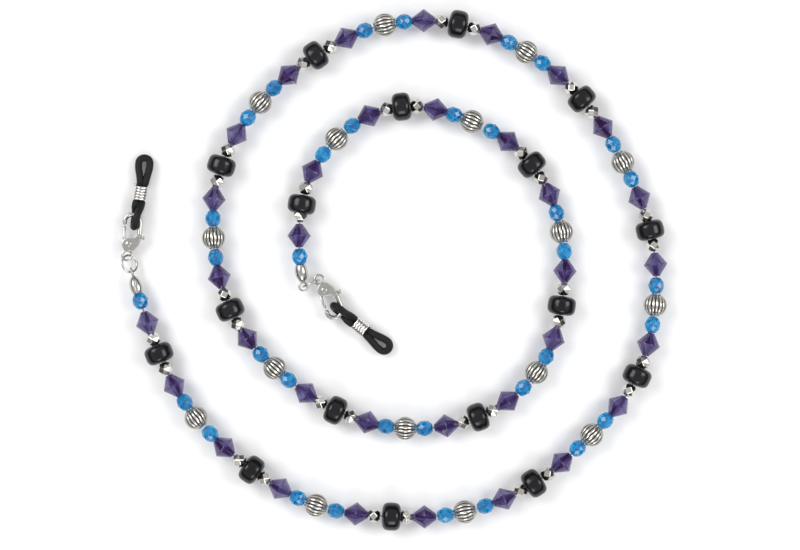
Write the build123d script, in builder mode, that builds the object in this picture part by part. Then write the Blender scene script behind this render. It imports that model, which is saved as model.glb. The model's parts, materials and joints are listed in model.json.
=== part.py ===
from build123d import *
import os
from math import asin, atan2, cos, degrees, radians, sin, tan

# Eyeglass retainer strap: a beaded cord with a clasp and a rubber temple loop at each end.
# It lies on its lowest beads in a loose spiral. Millimetres, +Z up, the spiral's centre at X = Y = 0.

# ---- Beads: each is bored through and threads on the wire ----
bead_bore = 1.0
wire_diameter = 0.45
blue_diameter = 4.1
blue_length = 4.05
purple_diameter = 6.1
purple_length = 5.95
silver_diameter = 4.0
silver_length = 3.15
black_diameter = 7.2
black_length = 4.75
corrugated_diameter = 6.0
corrugated_length = 5.75
outer_gap = 0.18  # slack between beads at the outer end of the strand
inner_gap = 0.09  # the same at the inner end
bend_gap = 0.38  # slack where the strand is free to bend
rim_radius = 0.75  # flat rim around the hole of a bead

# ---- Strand: 17 groups of seven beads with a corrugated bead between groups ----
group_pattern = ["blue", "purple", "silver", "black", "silver", "purple", "blue"]
group_count = 17
outer_arm_groups = 4  # groups that can bend one by one, from the outer clasp
inner_arm_groups = 2  # the same, from the inner clasp

# ---- Bead tip: a clamshell over the crimp, with a loop on top ----
tip_diameter = 3.2
tip_length = 4.7
tip_wall = 0.28
tip_seam = 0.08
tip_hole = 0.95
tip_loop_wire = 0.5
tip_loop_bore = 1.6
tip_gap = 0.15  # between the tip and the first bead
crimp_diameter = 1.3
crimp_length = 1.3
crimp_clearance = 0.01
crimp_offset = 1.6  # from the tip's hole to the crimp's middle

# ---- Jump ring: split, joins the bead tip to the clasp ----
ring_wire = 0.6
ring_diameter = 5.0
ring_split = 0.06

# ---- Lobster clasp: cast claw with a sprung gate lever on a rivet ----
clasp_reach = 11.15  # from the eye's centre to the end of the hook
eye_bore = 1.85
eye_wire = 0.62
claw_width = 1.1  # in the clasp's plane
claw_depth = 1.5  # through the clasp
back_offset = 2.6  # claw's back, off the clasp's centre line
front_offset = 1.55  # hook's tip, on the other side
cheek_depth = 2.2
slot_depth = 1.3
rivet_at = (3.0, -0.1)
rivet_diameter = 0.9
rivet_head_diameter = 1.5
rivet_head_depth = 0.2
lever_depth = 0.75
lever_width = 0.7
lever_clearance = 0.06
gate_end = (7.0, 1.42)
tab_at = (4.9, -3.75)
spring_wire = 0.18
spring_turns = 2
spring_leg = 1.2

# ---- Rubber: one loop, its neck gripped by a coil ----
rubber_diameter = 1.85
hook_clearance = 0.185  # between the rubber and the hook, above and below
rubber_wrap = (claw_depth + rubber_diameter) / 2 + hook_clearance  # centre line around the hook
bight_at = (8.0, -0.95)  # in the clasp's plane, inside the hook
neck_half_gap = 0.6  # half the distance between the two squeezed strands
neck_strand = 1.5
neck_start = 6.05
neck_overlap = 0.3
coil_wire = 0.65
coil_clearance = 0.06  # between the coil and the squeezed neck
coil_turns = 5
coil_pitch = 0.72
coil_travel = 0.8
coil_gap = 0.2  # from the coil to the full rubber on each side
temple_width = 4.8
temple_length = 6.9  # from the neck's far end to the outside of the loop
temple_drop = 0.9  # the loop's far end lies lower than the neck

# ---- Heights above the table ----
wire_height = black_diameter / 2
clasp_height = rubber_wrap + rubber_diameter / 2 + 0.12
neck_drop = 0.5  # the coil's axis is lower than the clasp's middle

# ---- How the strap lies: the strand's route, from the outer bead tip to the inner one ----
route = [
    (-65.1, -6.0),
    (-60.6, -21.0),
    (-51.4, -37.3),
    (-37.4, -50.5),
    (-20.4, -60.6),
    (-2.2, -62.9),
    (16.8, -62.5),
    (35.0, -55.4),
    (49.5, -43.0),
    (62.0, -28.9),
    (67.0, -9.9),
    (66.2, 9.0),
    (58.7, 27.4),
    (48.4, 43.9),
    (33.7, 56.3),
    (16.0, 63.6),
    (-3.2, 63.3),
    (-20.6, 55.0),
    (-35.2, 42.5),
    (-45.4, 25.9),
    (-46.5, 7.0),
    (-42.1, -11.8),
    (-30.1, -26.0),
    (-13.6, -37.2),
    (4.4, -41.2),
    (23.8, -37.6),
    (38.0, -25.7),
    (43.6, -7.6),
    (43.2, 11.6),
    (34.8, 29.2),
    (19.0, 39.0),
    (0.7, 43.1),
    (-15.4, 34.5),
    (-25.2, 17.6),
    (-23.9, 1.6),
]
arc_share = 0.45  # of the shorter run beside a corner
outer_headings = {"tip": 106, "ring": 107, "clasp": 83.5, "rubber": 79, "temple": 87}
inner_headings = {"tip": -82, "ring": 23.5, "clasp": -66.5, "rubber": -39, "temple": -37}
outer_ring_tilt = 40  # from lying flat
inner_ring_tilt = 90


def distance(a, b):
    return (Vector(*a) - Vector(*b)).length


def corner_radii(points):
    """The largest arc that the two runs beside each corner allow."""
    radii = []
    for before, corner, after in zip(points, points[1:], points[2:]):
        turn = (Vector(*corner) - Vector(*before)).get_angle(Vector(*after) - Vector(*corner))
        shorter = min(distance(before, corner), distance(corner, after))
        radii.append(arc_share * shorter / tan(radians(turn) / 2))
    return radii


def rounded_path(points):
    with BuildLine() as path:
        FilletPolyline(*points, radius=corner_radii(points))
    return path.wire()


# ---- The order of the beads, and where each stands along the wire ----
bead_lengths = {
    "blue": blue_length,
    "purple": purple_length,
    "silver": silver_length,
    "black": black_length,
    "corrugated": corrugated_length,
}
middle_strand = outer_arm_groups + 1
strand_count = outer_arm_groups + 1 + inner_arm_groups


def strand_of(group):
    """Which strand a bead is on: one group each near the ends, the rest in the middle."""
    if group < outer_arm_groups:
        return group + 1
    from_inner_end = group_count - 1 - group
    if from_inner_end < inner_arm_groups:
        return strand_count - from_inner_end
    return middle_strand


bead_row = []  # (kind, strand)
for group in range(group_count):
    if group > 0:
        # a divider rides with the arm that it is nearer to an end of
        outward = group - 1 if group <= outer_arm_groups else group
        bead_row.append(("corrugated", strand_of(outward)))
    bead_row += [(kind, strand_of(group)) for kind in group_pattern]

stations = []  # (kind, strand, distance along the wire)
bends = {}  # the strand before each bend, and the bend's distance along the wire
along = tip_gap
for index, (kind, strand) in enumerate(bead_row):
    if index > 0:
        changed = strand != bead_row[index - 1][1]
        share = index / len(bead_row)
        gap = bend_gap if changed else outer_gap + (inner_gap - outer_gap) * share
        if changed:
            bends[strand - 1] = along + gap / 2
        along += gap
    stations.append((kind, strand, along + bead_lengths[kind] / 2))
    along += bead_lengths[kind]
strand_length = along + tip_gap

# The spiral opens or closes until its wire is as long as the row of beads.
flat_route = [(x, y, 0) for x, y in route]
lay_scale = strand_length / rounded_path(flat_route).length
laid_route = [(x * lay_scale, y * lay_scale, wire_height) for x, y in route]
wire_path = rounded_path(laid_route)
print("strand length", round(strand_length, 2), "lay scale", round(lay_scale, 4))
print("route radii", [round(radius, 1) for radius in corner_radii(laid_route)])


def place_on_wire(station):
    """The frame of a bead: its Z axis along the wire."""
    share = station / strand_length
    return Plane(origin=wire_path @ share, x_dir=(0, 0, 1), z_dir=wire_path % share)


def seat(frame, local_plane):
    """The plane that lies in a frame as local_plane lies in the world."""
    return Plane(frame.location * local_plane.location)


def save(part, name):
    part.label = name
    export_step(part, f"parts/{name}.step")


os.makedirs("parts", exist_ok=True)

# ---- One bead of each kind, its hole along Z ----
with BuildPart() as blue_bead:
    with BuildSketch(Plane.XZ):
        with BuildLine():
            Polyline(
                (bead_bore / 2, -blue_length / 2),
                (rim_radius, -blue_length / 2),
                (0.43 * blue_diameter, -0.26 * blue_length),
                (blue_diameter / 2, -0.4),
                (blue_diameter / 2, 0.4),
                (0.43 * blue_diameter, 0.26 * blue_length),
                (rim_radius, blue_length / 2),
                (bead_bore / 2, blue_length / 2),
                close=True,
            )
        make_face()
    revolve(axis=Axis.Z)

with BuildPart() as purple_bead:
    with BuildSketch(Plane.XZ):
        with BuildLine():
            Polyline(
                (bead_bore / 2, -purple_length / 2),
                (rim_radius, -purple_length / 2),
                (purple_diameter / 2, -0.15),
                (purple_diameter / 2, 0.15),
                (rim_radius, purple_length / 2),
                (bead_bore / 2, purple_length / 2),
                close=True,
            )
        make_face()
    revolve(axis=Axis.Z)

with BuildPart() as silver_bead:
    with BuildSketch(Plane.XZ):
        with BuildLine():
            Polyline(
                (bead_bore / 2, -silver_length / 2),
                (rim_radius, -silver_length / 2),
                (silver_diameter / 2, -0.12),
                (silver_diameter / 2, 0.12),
                (rim_radius, silver_length / 2),
                (bead_bore / 2, silver_length / 2),
                close=True,
            )
        make_face()
    revolve(axis=Axis.Z)

with BuildPart() as black_bead:
    with BuildSketch(Plane.XZ):
        with BuildLine():
            rim = Line((bead_bore / 2, -black_length / 2), (rim_radius, -black_length / 2))
            side = ThreePointArc(rim @ 1, (black_diameter / 2, 0), (rim_radius, black_length / 2))
            top = Line(side @ 1, (bead_bore / 2, black_length / 2))
            Line(top @ 1, rim @ 0)
        make_face()
    revolve(axis=Axis.Z)

collar_radius = 1.15
collar_length = 0.35
with BuildPart() as corrugated_bead:
    with BuildSketch(Plane.XZ):
        body_half = corrugated_length / 2 - collar_length
        with BuildLine():
            end = Line((bead_bore / 2, -corrugated_length / 2), (collar_radius, -corrugated_length / 2))
            collar = Line(end @ 1, (collar_radius, -body_half))
            side = ThreePointArc(collar @ 1, (corrugated_diameter / 2, 0), (collar_radius, body_half))
            far_collar = Line(side @ 1, (collar_radius, corrugated_length / 2))
            far_end = Line(far_collar @ 1, (bead_bore / 2, corrugated_length / 2))
            Line(far_end @ 1, end @ 0)
        make_face()
    revolve(axis=Axis.Z)

bead_shapes = {
    "blue": (blue_bead.part, "blue_glass_beads"),
    "purple": (purple_bead.part, "purple_bicones"),
    "silver": (silver_bead.part, "silver_bicones"),
    "black": (black_bead.part, "black_rondelles"),
    "corrugated": (corrugated_bead.part, "corrugated_silver_beads"),
}


def thread_beads(kind, strand):
    """All the beads of one kind on one strand, as separate solids."""
    shape, plural = bead_shapes[kind]
    places = [place_on_wire(at).location for name, on, at in stations if (name, on) == (kind, strand)]
    if not places:
        return
    with BuildPart() as beads:
        with Locations(*places):
            add(shape)
    save(beads.part, f"strand_{strand}_{plural}")


for strand in range(1, strand_count + 1):
    for kind in bead_shapes:
        thread_beads(kind, strand)

# ---- The beading wire, in one length for each strand: it flexes in the gaps between them ----
wire_break = 0.5  # from a bend to the end of the wire on each side
crimp_reach = crimp_offset + crimp_length / 2


def run_of_wire(start, stop):
    return wire_path.trim(max(start, 0) / strand_length, min(stop, strand_length) / strand_length)


def make_wire(strand):
    start = bends[strand - 1] + wire_break if strand > 1 else 0
    stop = bends[strand] - wire_break if strand < strand_count else strand_length
    run = run_of_wire(start, stop)
    with BuildPart() as wire:
        with BuildSketch(Plane(origin=run @ 0, z_dir=run % 0)):
            Circle(wire_diameter / 2)
        sweep(path=run)
        if strand == 1:
            with BuildSketch(Plane(origin=run @ 0, z_dir=-(run % 0))):
                Circle(wire_diameter / 2)
            extrude(amount=crimp_reach)
        if strand == strand_count:
            with BuildSketch(Plane(origin=run @ 1, z_dir=run % 1)):
                Circle(wire_diameter / 2)
            extrude(amount=crimp_reach)
    section = Circle(wire_diameter / 2, mode=Mode.PRIVATE).area
    print("strand", strand, "wire over its section", round(wire.part.volume / section, 2))
    save(wire.part, f"strand_{strand}_beading_wire")


for strand in range(1, strand_count + 1):
    make_wire(strand)


# ---- Frames of the two ends: X along a piece towards the temple loop, Z out of its flat side ----
def level_frame(origin, heading, flipped=False):
    x_dir = (cos(radians(heading)), sin(radians(heading)), 0)
    return Plane(origin=origin, x_dir=x_dir, z_dir=(0, 0, -1) if flipped else (0, 0, 1))


def sloped_frame(origin, heading, slope):
    """A level frame whose X axis is then lowered by the slope, in degrees."""
    return seat(level_frame(origin, heading), Plane(Location((0, 0, 0), (0, slope, 0))))


def make_crimp(end, frame):
    with BuildPart() as crimp:
        with BuildSketch(seat(frame, Plane.YZ.offset(crimp_offset - crimp_length / 2))):
            Circle(crimp_diameter / 2)
            Circle(wire_diameter / 2 + crimp_clearance, mode=Mode.SUBTRACT)
        extrude(amount=crimp_length)
    save(crimp.part, f"{end}_crimp_bead")


tip_hinge_reach = 0.7  # the seam stops this far from the hole
stem_radius = 0.33
tip_loop_at = tip_length + tip_loop_bore / 2 + tip_loop_wire / 2 + 0.1


def make_tip(end, frame, loop_plane):
    """Two cups, joined by a hinge at the wire's hole, and a loop: X is the tip's axis."""
    radius = tip_diameter / 2
    inner = radius - tip_wall
    loop_radius = (tip_loop_bore + tip_loop_wire) / 2
    with BuildPart() as tip:
        with BuildSketch(seat(frame, Plane.XY)):
            with BuildLine():
                foot = Line((0, 0), (0, 0.55))
                flank = ThreePointArc(foot @ 1, (tip_length / 2, radius), (tip_length, 0.4))
                cap = Line(flank @ 1, (tip_length, 0))
                Line(cap @ 1, foot @ 0)
            make_face()
        revolve(axis=Axis(frame.origin, frame.x_dir))
        with BuildSketch(seat(frame, Plane.XY)):
            with BuildLine():
                near = tip_wall
                far = tip_length - tip_wall
                foot = Line((near, 0), (near, 0.5))
                flank = ThreePointArc(foot @ 1, (tip_length / 2, inner), (far, 0.35))
                cap = Line(flank @ 1, (far, 0))
                Line(cap @ 1, foot @ 0)
            make_face()
        revolve(axis=Axis(frame.origin, frame.x_dir), mode=Mode.SUBTRACT)
        with BuildSketch(seat(frame, Plane.YZ)):
            Circle(tip_hole / 2)
        extrude(amount=2 * tip_wall, both=True, mode=Mode.SUBTRACT)
        # the seam between the cups, closed only at the hinge beside the hole
        with BuildSketch(seat(frame, loop_plane)):
            with Locations((tip_hinge_reach, stem_radius / 2)):
                Rectangle(tip_length, radius + stem_radius, align=(Align.MIN, Align.MAX))
        extrude(amount=tip_seam / 2, both=True, mode=Mode.SUBTRACT)
        # the loop
        ring_plane = seat(frame, loop_plane)
        with Locations(ring_plane.location * Location((tip_loop_at, 0, 0))):
            Torus(loop_radius, tip_loop_wire / 2)
        with BuildSketch(seat(frame, Plane.YZ.offset(tip_length - 0.3))):
            Circle(stem_radius)
        extrude(amount=tip_loop_at - loop_radius - tip_length + 0.3)
    save(tip.part, f"{end}_bead_tip")


ring_radius = (ring_diameter - ring_wire) / 2


def make_ring(end, frame, tilt):
    """X is the line of pull, and the ring is turned about it by the tilt."""
    turned = seat(frame, Plane(Location((ring_radius, 0, 0), (tilt, 0, 0))))
    with BuildPart() as ring:
        with Locations(turned.location):
            Torus(ring_radius, ring_wire / 2)
        with BuildSketch(seat(turned, Plane.XZ)):
            with Locations((0, 0)):
                Rectangle(ring_split, 2 * ring_wire)
        extrude(amount=-2 * ring_radius, mode=Mode.SUBTRACT)
    save(ring.part, f"{end}_jump_ring")


# ---- The clasp: X from the eye to the hook's end, Y towards the gate ----
hook_centre = clasp_reach - claw_width / 2
hub_radius = 0.95
slot_start = rivet_at[0] - hub_radius - 2 * lever_clearance
slot_length = 4.2
cheek_reach = 3.5


def make_clasp_body(end, frame):
    eye_radius = (eye_bore + eye_wire) / 2
    hook_points = [
        (3.2, -1.7),
        (5.0, -back_offset),
        (hook_centre, -back_offset + 0.2),
        (hook_centre, front_offset),
        (gate_end[0] + 0.85, front_offset),
    ]
    with BuildPart() as body:
        with Locations(frame.location):
            Torus(eye_radius, eye_wire / 2)
        with BuildLine(seat(frame, Plane.XY)) as claw_line:
            FilletPolyline(*hook_points, radius=[1.2, 1.9, 1.8])
        claw_path = claw_line.wire()
        with BuildSketch(Plane(origin=claw_path @ 0, x_dir=frame.z_dir, z_dir=claw_path % 0)):
            Ellipse(claw_depth / 2, claw_width / 2)
        sweep(path=claw_path)
        # the two cheeks, with the lever's slot between them
        with BuildSketch(seat(frame, Plane.XY)):
            with BuildLine():
                Polyline(
                    (eye_radius, -0.75),
                    (2.3, -1.9),
                    (4.0, -2.75),
                    (5.6, -3.0),
                    (5.6, -2.2),
                    (4.7, -1.4),
                    (4.4, 0.9),
                    (3.4, 1.75),
                    (2.1, 1.45),
                    (eye_radius, 0.75),
                    close=True,
                )
            make_face()
        cheeks = extrude(amount=cheek_depth / 2, both=True)
        with BuildSketch(seat(frame, Plane.XY)):
            with Locations((slot_start + slot_length / 2, 0)):
                Rectangle(slot_length, 2 * cheek_reach)
        extrude(amount=slot_depth / 2, both=True, mode=Mode.SUBTRACT)
        with BuildSketch(seat(frame, Plane.XY)):
            with Locations(rivet_at):
                Circle(rivet_diameter / 2)
        extrude(amount=cheek_depth, both=True, mode=Mode.SUBTRACT)
    save(body.part, f"{end}_clasp_body")


def make_rivet(end, frame):
    head_at = cheek_depth / 2
    with BuildPart() as rivet:
        with BuildSketch(seat(frame, Plane.XY)):
            with Locations(rivet_at):
                Circle(rivet_diameter / 2)
        extrude(amount=head_at, both=True)
        for plane, up in ((Plane.XY.offset(head_at), 1), (Plane.XY.offset(-head_at), -1)):
            with BuildSketch(seat(frame, plane)):
                with Locations(rivet_at):
                    Circle(rivet_head_diameter / 2)
            extrude(amount=up * rivet_head_depth, taper=20)
    save(rivet.part, f"{end}_clasp_rivet")


lever_low = slot_depth / 2 - lever_clearance - lever_depth  # the lever stands against one cheek


def make_lever(end, frame):
    bore = rivet_diameter / 2 + lever_clearance
    with BuildPart() as lever:
        with BuildSketch(seat(frame, Plane.XY.offset(lever_low))):
            with BuildLine():
                Polyline(rivet_at, (4.1, 1.25), gate_end)
            trace(line_width=lever_width)
            with BuildLine():
                Polyline(rivet_at, (4.3, -2.2), tab_at)
            trace(line_width=lever_width)
            with Locations(rivet_at):
                Circle(hub_radius)
                Circle(bore, mode=Mode.SUBTRACT)
        extrude(amount=lever_depth)
        # the thumb tab, wider than the slot where it stands clear of the cheeks
        with BuildSketch(seat(frame, Plane.XY)):
            with Locations(Location(tab_at, 28)):
                RectangleRounded(0.9, 0.55, 0.2)
        extrude(amount=0.7, both=True)
        with BuildSketch(seat(frame, Plane.XY)):
            with BuildLine():
                Line((gate_end[0] - 2, gate_end[1] - 0.1), gate_end)
            trace(line_width=lever_width)
        extrude(amount=0.5, both=True)
    save(lever.part, f"{end}_clasp_lever")


def make_spring(end, frame):
    """A torsion spring on the rivet, beside the lever."""
    coil_radius = rivet_diameter / 2 + lever_clearance + spring_wire / 2
    low = -slot_depth / 2 + lever_clearance
    height = spring_turns * spring_wire
    on_rivet = seat(frame, Plane(Location((*rivet_at, low))))
    with BuildPart() as spring:
        with BuildSketch(on_rivet):
            Circle(coil_radius + spring_wire / 2)
            Circle(coil_radius - spring_wire / 2, mode=Mode.SUBTRACT)
        extrude(amount=height)
        with BuildSketch(on_rivet):
            with Locations((-coil_radius, 0)):
                Rectangle(spring_wire, spring_leg, align=(Align.CENTER, Align.MIN))
        extrude(amount=spring_wire)
    save(spring.part, f"{end}_clasp_spring")


# ---- The rubber loop and its coil: X along the neck, the bight at X = 0 ----
coil_bore = neck_strand + 2 * neck_half_gap + 2 * coil_clearance
coil_length = coil_turns * coil_pitch + coil_wire
coil_start = neck_start + coil_gap
neck_end = coil_start + coil_length + coil_travel + coil_gap


def make_tube(frame, points, radii, radius):
    with BuildPart() as tube:
        with BuildLine(seat(frame, Plane.XY)) as line:
            FilletPolyline(*points, radius=radii)
        path = line.wire()
        with BuildSketch(Plane(origin=path @ 0, z_dir=path % 0)):
            Circle(radius)
        sweep(path=path)
    return tube.part


def make_rubber(end, frame, neck_frame, temple_frame):
    """One loop of cord: a bight through the hook, a squeezed neck and a wide temple loop."""
    radius = rubber_diameter / 2
    beside = radius + 0.02  # the two strands lie side by side at the neck
    clear_of_hook = clasp_reach - bight_at[0] + 0.2
    bight_points = [
        (neck_start, beside, -neck_drop),
        (neck_start - 0.9, beside, -neck_drop),
        (clear_of_hook, 0.1, rubber_wrap),
        (0, 0, rubber_wrap),
        (0, 0, -rubber_wrap),
        (clear_of_hook, -0.1, -rubber_wrap),
        (neck_start - 0.9, -beside, -neck_drop),
        (neck_start, -beside, -neck_drop),
    ]
    fold = rubber_wrap - 0.02
    bight = make_tube(frame, bight_points, [0.8, 1.0, fold, fold, 1.0, 0.8], radius)
    temple_half = (temple_width - rubber_diameter) / 2
    far = temple_length - radius
    temple_points = [
        (0, beside),
        (0.8, beside),
        (2.6, temple_half),
        (far, temple_half),
        (far, -temple_half),
        (2.6, -temple_half),
        (0.8, -beside),
        (0, -beside),
    ]
    fold = temple_half - 0.02
    temple = make_tube(temple_frame, temple_points, [1.2, 2.4, fold, fold, 2.4, 1.2], radius)
    with BuildPart() as rubber:
        with BuildSketch(seat(neck_frame, Plane.YZ.offset(neck_start - neck_overlap))):
            SlotCenterToCenter(2 * neck_half_gap, neck_strand)
        extrude(amount=neck_end - neck_start + 2 * neck_overlap)
        add(bight)
        add(temple)
    save(rubber.part, f"{end}_rubber_loop")


def make_coil(end, neck_frame):
    """A short close-wound coil that holds the two strands of the neck together."""
    radius = (coil_bore + coil_wire) / 2
    start = neck_frame.from_local_coords((coil_start + coil_wire / 2, 0, 0))
    height = coil_turns * coil_pitch
    with BuildPart() as coil:
        with BuildLine() as winding:
            Helix(coil_pitch, height, radius, center=start, direction=neck_frame.x_dir)
        turns = winding.wire()
        with BuildSketch(Plane(origin=turns @ 0, z_dir=turns % 0)):
            Circle(coil_wire / 2)
        sweep(path=turns, is_frenet=True)
    save(coil.part, f"{end}_grip_coil")


def make_end(end, hole, wire_heading, headings, ring_tilt, loop_plane, flipped):
    make_crimp(end, level_frame(hole, wire_heading))
    fall = degrees(asin((wire_height - clasp_height) / (tip_loop_at + 2 * ring_radius)))
    tip_frame = sloped_frame(hole, headings["tip"], fall)
    make_tip(end, tip_frame, loop_plane)
    loop_centre = tip_frame.from_local_coords((tip_loop_at, 0, 0))
    ring_frame = sloped_frame(loop_centre, headings["ring"], fall)
    make_ring(end, ring_frame, ring_tilt)
    eye = ring_frame.from_local_coords((2 * ring_radius, 0, 0))
    clasp_frame = level_frame(eye, headings["clasp"], flipped)
    make_clasp_body(end, clasp_frame)
    make_rivet(end, clasp_frame)
    make_lever(end, clasp_frame)
    make_spring(end, clasp_frame)
    bight = clasp_frame.from_local_coords((*bight_at, 0))
    rubber_frame = level_frame(bight, headings["rubber"])
    neck_frame = level_frame(bight - Vector(0, 0, neck_drop), headings["rubber"])
    neck_tail = neck_frame.from_local_coords((neck_end, 0, 0))
    slope = degrees(temple_drop / temple_length)
    temple_frame = sloped_frame(neck_tail, headings["temple"], slope)
    make_rubber(end, rubber_frame, neck_frame, temple_frame)
    make_coil(end, neck_frame)
    rivet = clasp_frame.from_local_coords((*rivet_at, 0))
    temple_hole = temple_frame.from_local_coords((temple_length / 2, 0, 0))
    places = {"temple hole": temple_hole, "tip hole": hole, "tip loop": loop_centre, "eye": eye, "rivet": rivet}
    places["bight"] = bight
    for name, point in places.items():
        print(end, name, [round(value, 3) for value in point])


wire_start = wire_path % 0
wire_stop = wire_path % 1
outer_wire_heading = degrees(atan2(-wire_start.Y, -wire_start.X))
inner_wire_heading = degrees(atan2(wire_stop.Y, wire_stop.X))
print("wire headings", round(outer_wire_heading, 1), round(inner_wire_heading, 1))
make_end("outer", wire_path @ 0, outer_wire_heading, outer_headings, outer_ring_tilt, Plane.XZ, False)
make_end("inner", wire_path @ 1, inner_wire_heading, inner_headings, inner_ring_tilt, Plane.XY, True)
for strand, station in bends.items():
    print("bend after strand", strand, [round(value, 3) for value in wire_path @ (station / strand_length)])
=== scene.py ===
import bmesh
import bpy
import json
import math
import numpy as np
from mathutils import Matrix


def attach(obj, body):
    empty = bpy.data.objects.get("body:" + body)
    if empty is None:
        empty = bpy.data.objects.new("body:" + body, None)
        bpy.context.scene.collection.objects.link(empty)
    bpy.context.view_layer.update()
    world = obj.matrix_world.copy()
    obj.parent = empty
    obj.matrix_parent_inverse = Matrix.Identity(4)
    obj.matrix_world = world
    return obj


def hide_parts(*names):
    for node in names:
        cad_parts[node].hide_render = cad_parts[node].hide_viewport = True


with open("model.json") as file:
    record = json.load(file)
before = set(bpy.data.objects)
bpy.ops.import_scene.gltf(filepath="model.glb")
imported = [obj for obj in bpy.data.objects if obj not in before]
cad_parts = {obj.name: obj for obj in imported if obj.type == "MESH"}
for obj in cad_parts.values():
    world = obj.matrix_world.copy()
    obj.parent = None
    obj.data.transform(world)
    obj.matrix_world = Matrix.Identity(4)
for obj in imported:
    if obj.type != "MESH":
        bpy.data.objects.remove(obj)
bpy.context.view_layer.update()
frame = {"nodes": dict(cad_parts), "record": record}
record = frame["record"]
mm = 0.001


cameraView = {"lens": 100.0, "width": 0.2044, "centre": (0.0015, -0.0012), "height": 0.0036}
studio = {
    "floorSize": 3.0,
    "floorColour": (0.93, 0.93, 0.93, 1),
    "lights": [
        {"name": "softLeft", "at": (-0.62, 0.34, 0.72), "size": 0.55, "watts": 4.2},
        {"name": "softRight", "at": (0.66, 0.10, 0.66), "size": 0.45, "watts": 2.9},
        {"name": "softFront", "at": (0.05, -0.75, 0.60), "size": 0.40, "watts": 2.0},
    ],
    "skyTop": (0.70, 0.70, 0.71, 1),
    "skyMiddle": (0.88, 0.88, 0.89, 1),
    "skyRim": (0.10, 0.10, 0.11, 1),
    "skyStrength": 0.92,
    "rimUpTo": 0.26,
    "middleAt": 0.55,
}


def makeCamera():
    data = bpy.data.cameras.new("camera")
    data.lens = cameraView["lens"]
    data.sensor_width = 36
    data.clip_start = 0.01
    camera = bpy.data.objects.new("camera", data)
    distance = cameraView["width"] * data.lens / data.sensor_width
    camera.location = (*cameraView["centre"], cameraView["height"] + distance)
    bpy.context.scene.collection.objects.link(camera)
    bpy.context.scene.camera = camera


def makeLights():
    for light in studio["lights"]:
        data = bpy.data.lights.new(light["name"], "AREA")
        data.size = light["size"]
        data.energy = light["watts"]
        lamp = bpy.data.objects.new(light["name"], data)
        lamp.location = light["at"]
        # an area light shines along its own -Z, here towards the middle of the strap
        away = lamp.location.normalized()
        lamp.rotation_euler = away.to_track_quat("Z", "Y").to_euler()
        bpy.context.scene.collection.objects.link(lamp)


def makeSky():
    world = bpy.data.worlds.new("studioSky")
    world.use_nodes = True
    tree = world.node_tree
    directions = tree.nodes.new("ShaderNodeTexCoord")
    split = tree.nodes.new("ShaderNodeSeparateXYZ")
    ramp = tree.nodes.new("ShaderNodeValToRGB")
    stops = ramp.color_ramp.elements
    stops[0].position = 0.0
    stops[0].color = studio["skyRim"]
    stops[1].position = 1.0
    stops[1].color = studio["skyTop"]
    for at, colour in ((studio["rimUpTo"], studio["skyRim"]), (studio["middleAt"], studio["skyMiddle"])):
        stop = stops.new(at)
        stop.color = colour
    tree.links.new(directions.outputs["Generated"], split.inputs[0])
    tree.links.new(split.outputs["Z"], ramp.inputs["Fac"])
    background = tree.nodes["Background"]
    background.inputs["Strength"].default_value = studio["skyStrength"]
    tree.links.new(ramp.outputs["Color"], background.inputs["Color"])
    bpy.context.scene.world = world
    bpy.context.scene.view_settings.view_transform = "Standard"


makeCamera()
makeLights()
makeSky()
print("camera and light made")


class Value:
    # wraps an output socket, so that arithmetic on it adds Math nodes
    def __init__(self, finish, socket):
        self.finish = finish
        self.socket = socket

    def math(self, operation, first, second):
        made = self.finish.node("ShaderNodeMath", {"operation": operation}, {0: first, 1: second})
        return self.finish.value(made)

    def __add__(self, other):
        return self.math("ADD", self, other)

    def __sub__(self, other):
        return self.math("SUBTRACT", self, other)

    def __rsub__(self, other):
        return self.math("SUBTRACT", other, self)

    def __mul__(self, other):
        return self.math("MULTIPLY", self, other)


class Finish:
    # one material: its nodes, and its Principled shader
    def __init__(self, name, **constants):
        self.material = bpy.data.materials.new(name)
        self.material.use_nodes = True
        self.tree = self.material.node_tree
        self.shader = self.tree.nodes["Principled BSDF"]
        for key, constant in constants.items():
            self.shader.inputs[key.replace("_", " ")].default_value = constant

    def join(self, socket, given):
        if isinstance(given, Value):
            self.tree.links.new(given.socket, socket)
        else:
            socket.default_value = given

    def node(self, kind, settings=None, inputs=None):
        made = self.tree.nodes.new(kind)
        for key, setting in (settings or {}).items():
            if key == "stops":
                while len(made.color_ramp.elements) < len(setting):
                    made.color_ramp.elements.new(0.5)
                for element, (at, colour) in zip(made.color_ramp.elements, setting):
                    element.position = at
                    element.color = colour
            else:
                setattr(made, key, setting)
        for key, given in (inputs or {}).items():
            self.join(made.inputs[key], given)
        return made

    def value(self, made, name=0):
        return Value(self, made.outputs[name])

    def attribute(self, name):
        return self.value(self.node("ShaderNodeAttribute", {"attribute_name": name}), "Fac")

    def noise(self, scale, detail=3.0, roughness=0.55):
        objectPoint = self.value(self.node("ShaderNodeTexCoord"), "Object")
        made = self.node("ShaderNodeTexNoise", None,
                         {"Vector": objectPoint, "Scale": scale, "Detail": detail, "Roughness": roughness})
        return self.value(made, "Fac")

    def ramp(self, given, stops):
        return self.value(self.node("ShaderNodeValToRGB", {"stops": stops}, {"Fac": given}), "Color")

    def span(self, given, low, high):
        # a mask from 0 to 1 turned into a number from low to high
        made = self.node("ShaderNodeMapRange", None,
                         {"Value": given, "From Min": 0.25, "From Max": 0.75, "To Min": low, "To Max": high})
        return self.value(made)

    def mix(self, factor, first, second):
        made = self.node("ShaderNodeMix", {"data_type": "RGBA"}, {0: factor, 6: first, 7: second})
        return self.value(made, 2)

    def bump(self, height, distance, strength=1.0):
        made = self.node("ShaderNodeBump", None,
                         {"Height": height, "Distance": distance, "Strength": strength})
        self.join(self.shader.inputs["Normal"], self.value(made))

    def feed(self, **links):
        for key, given in links.items():
            self.join(self.shader.inputs[key.replace("_", " ")], given)


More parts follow.
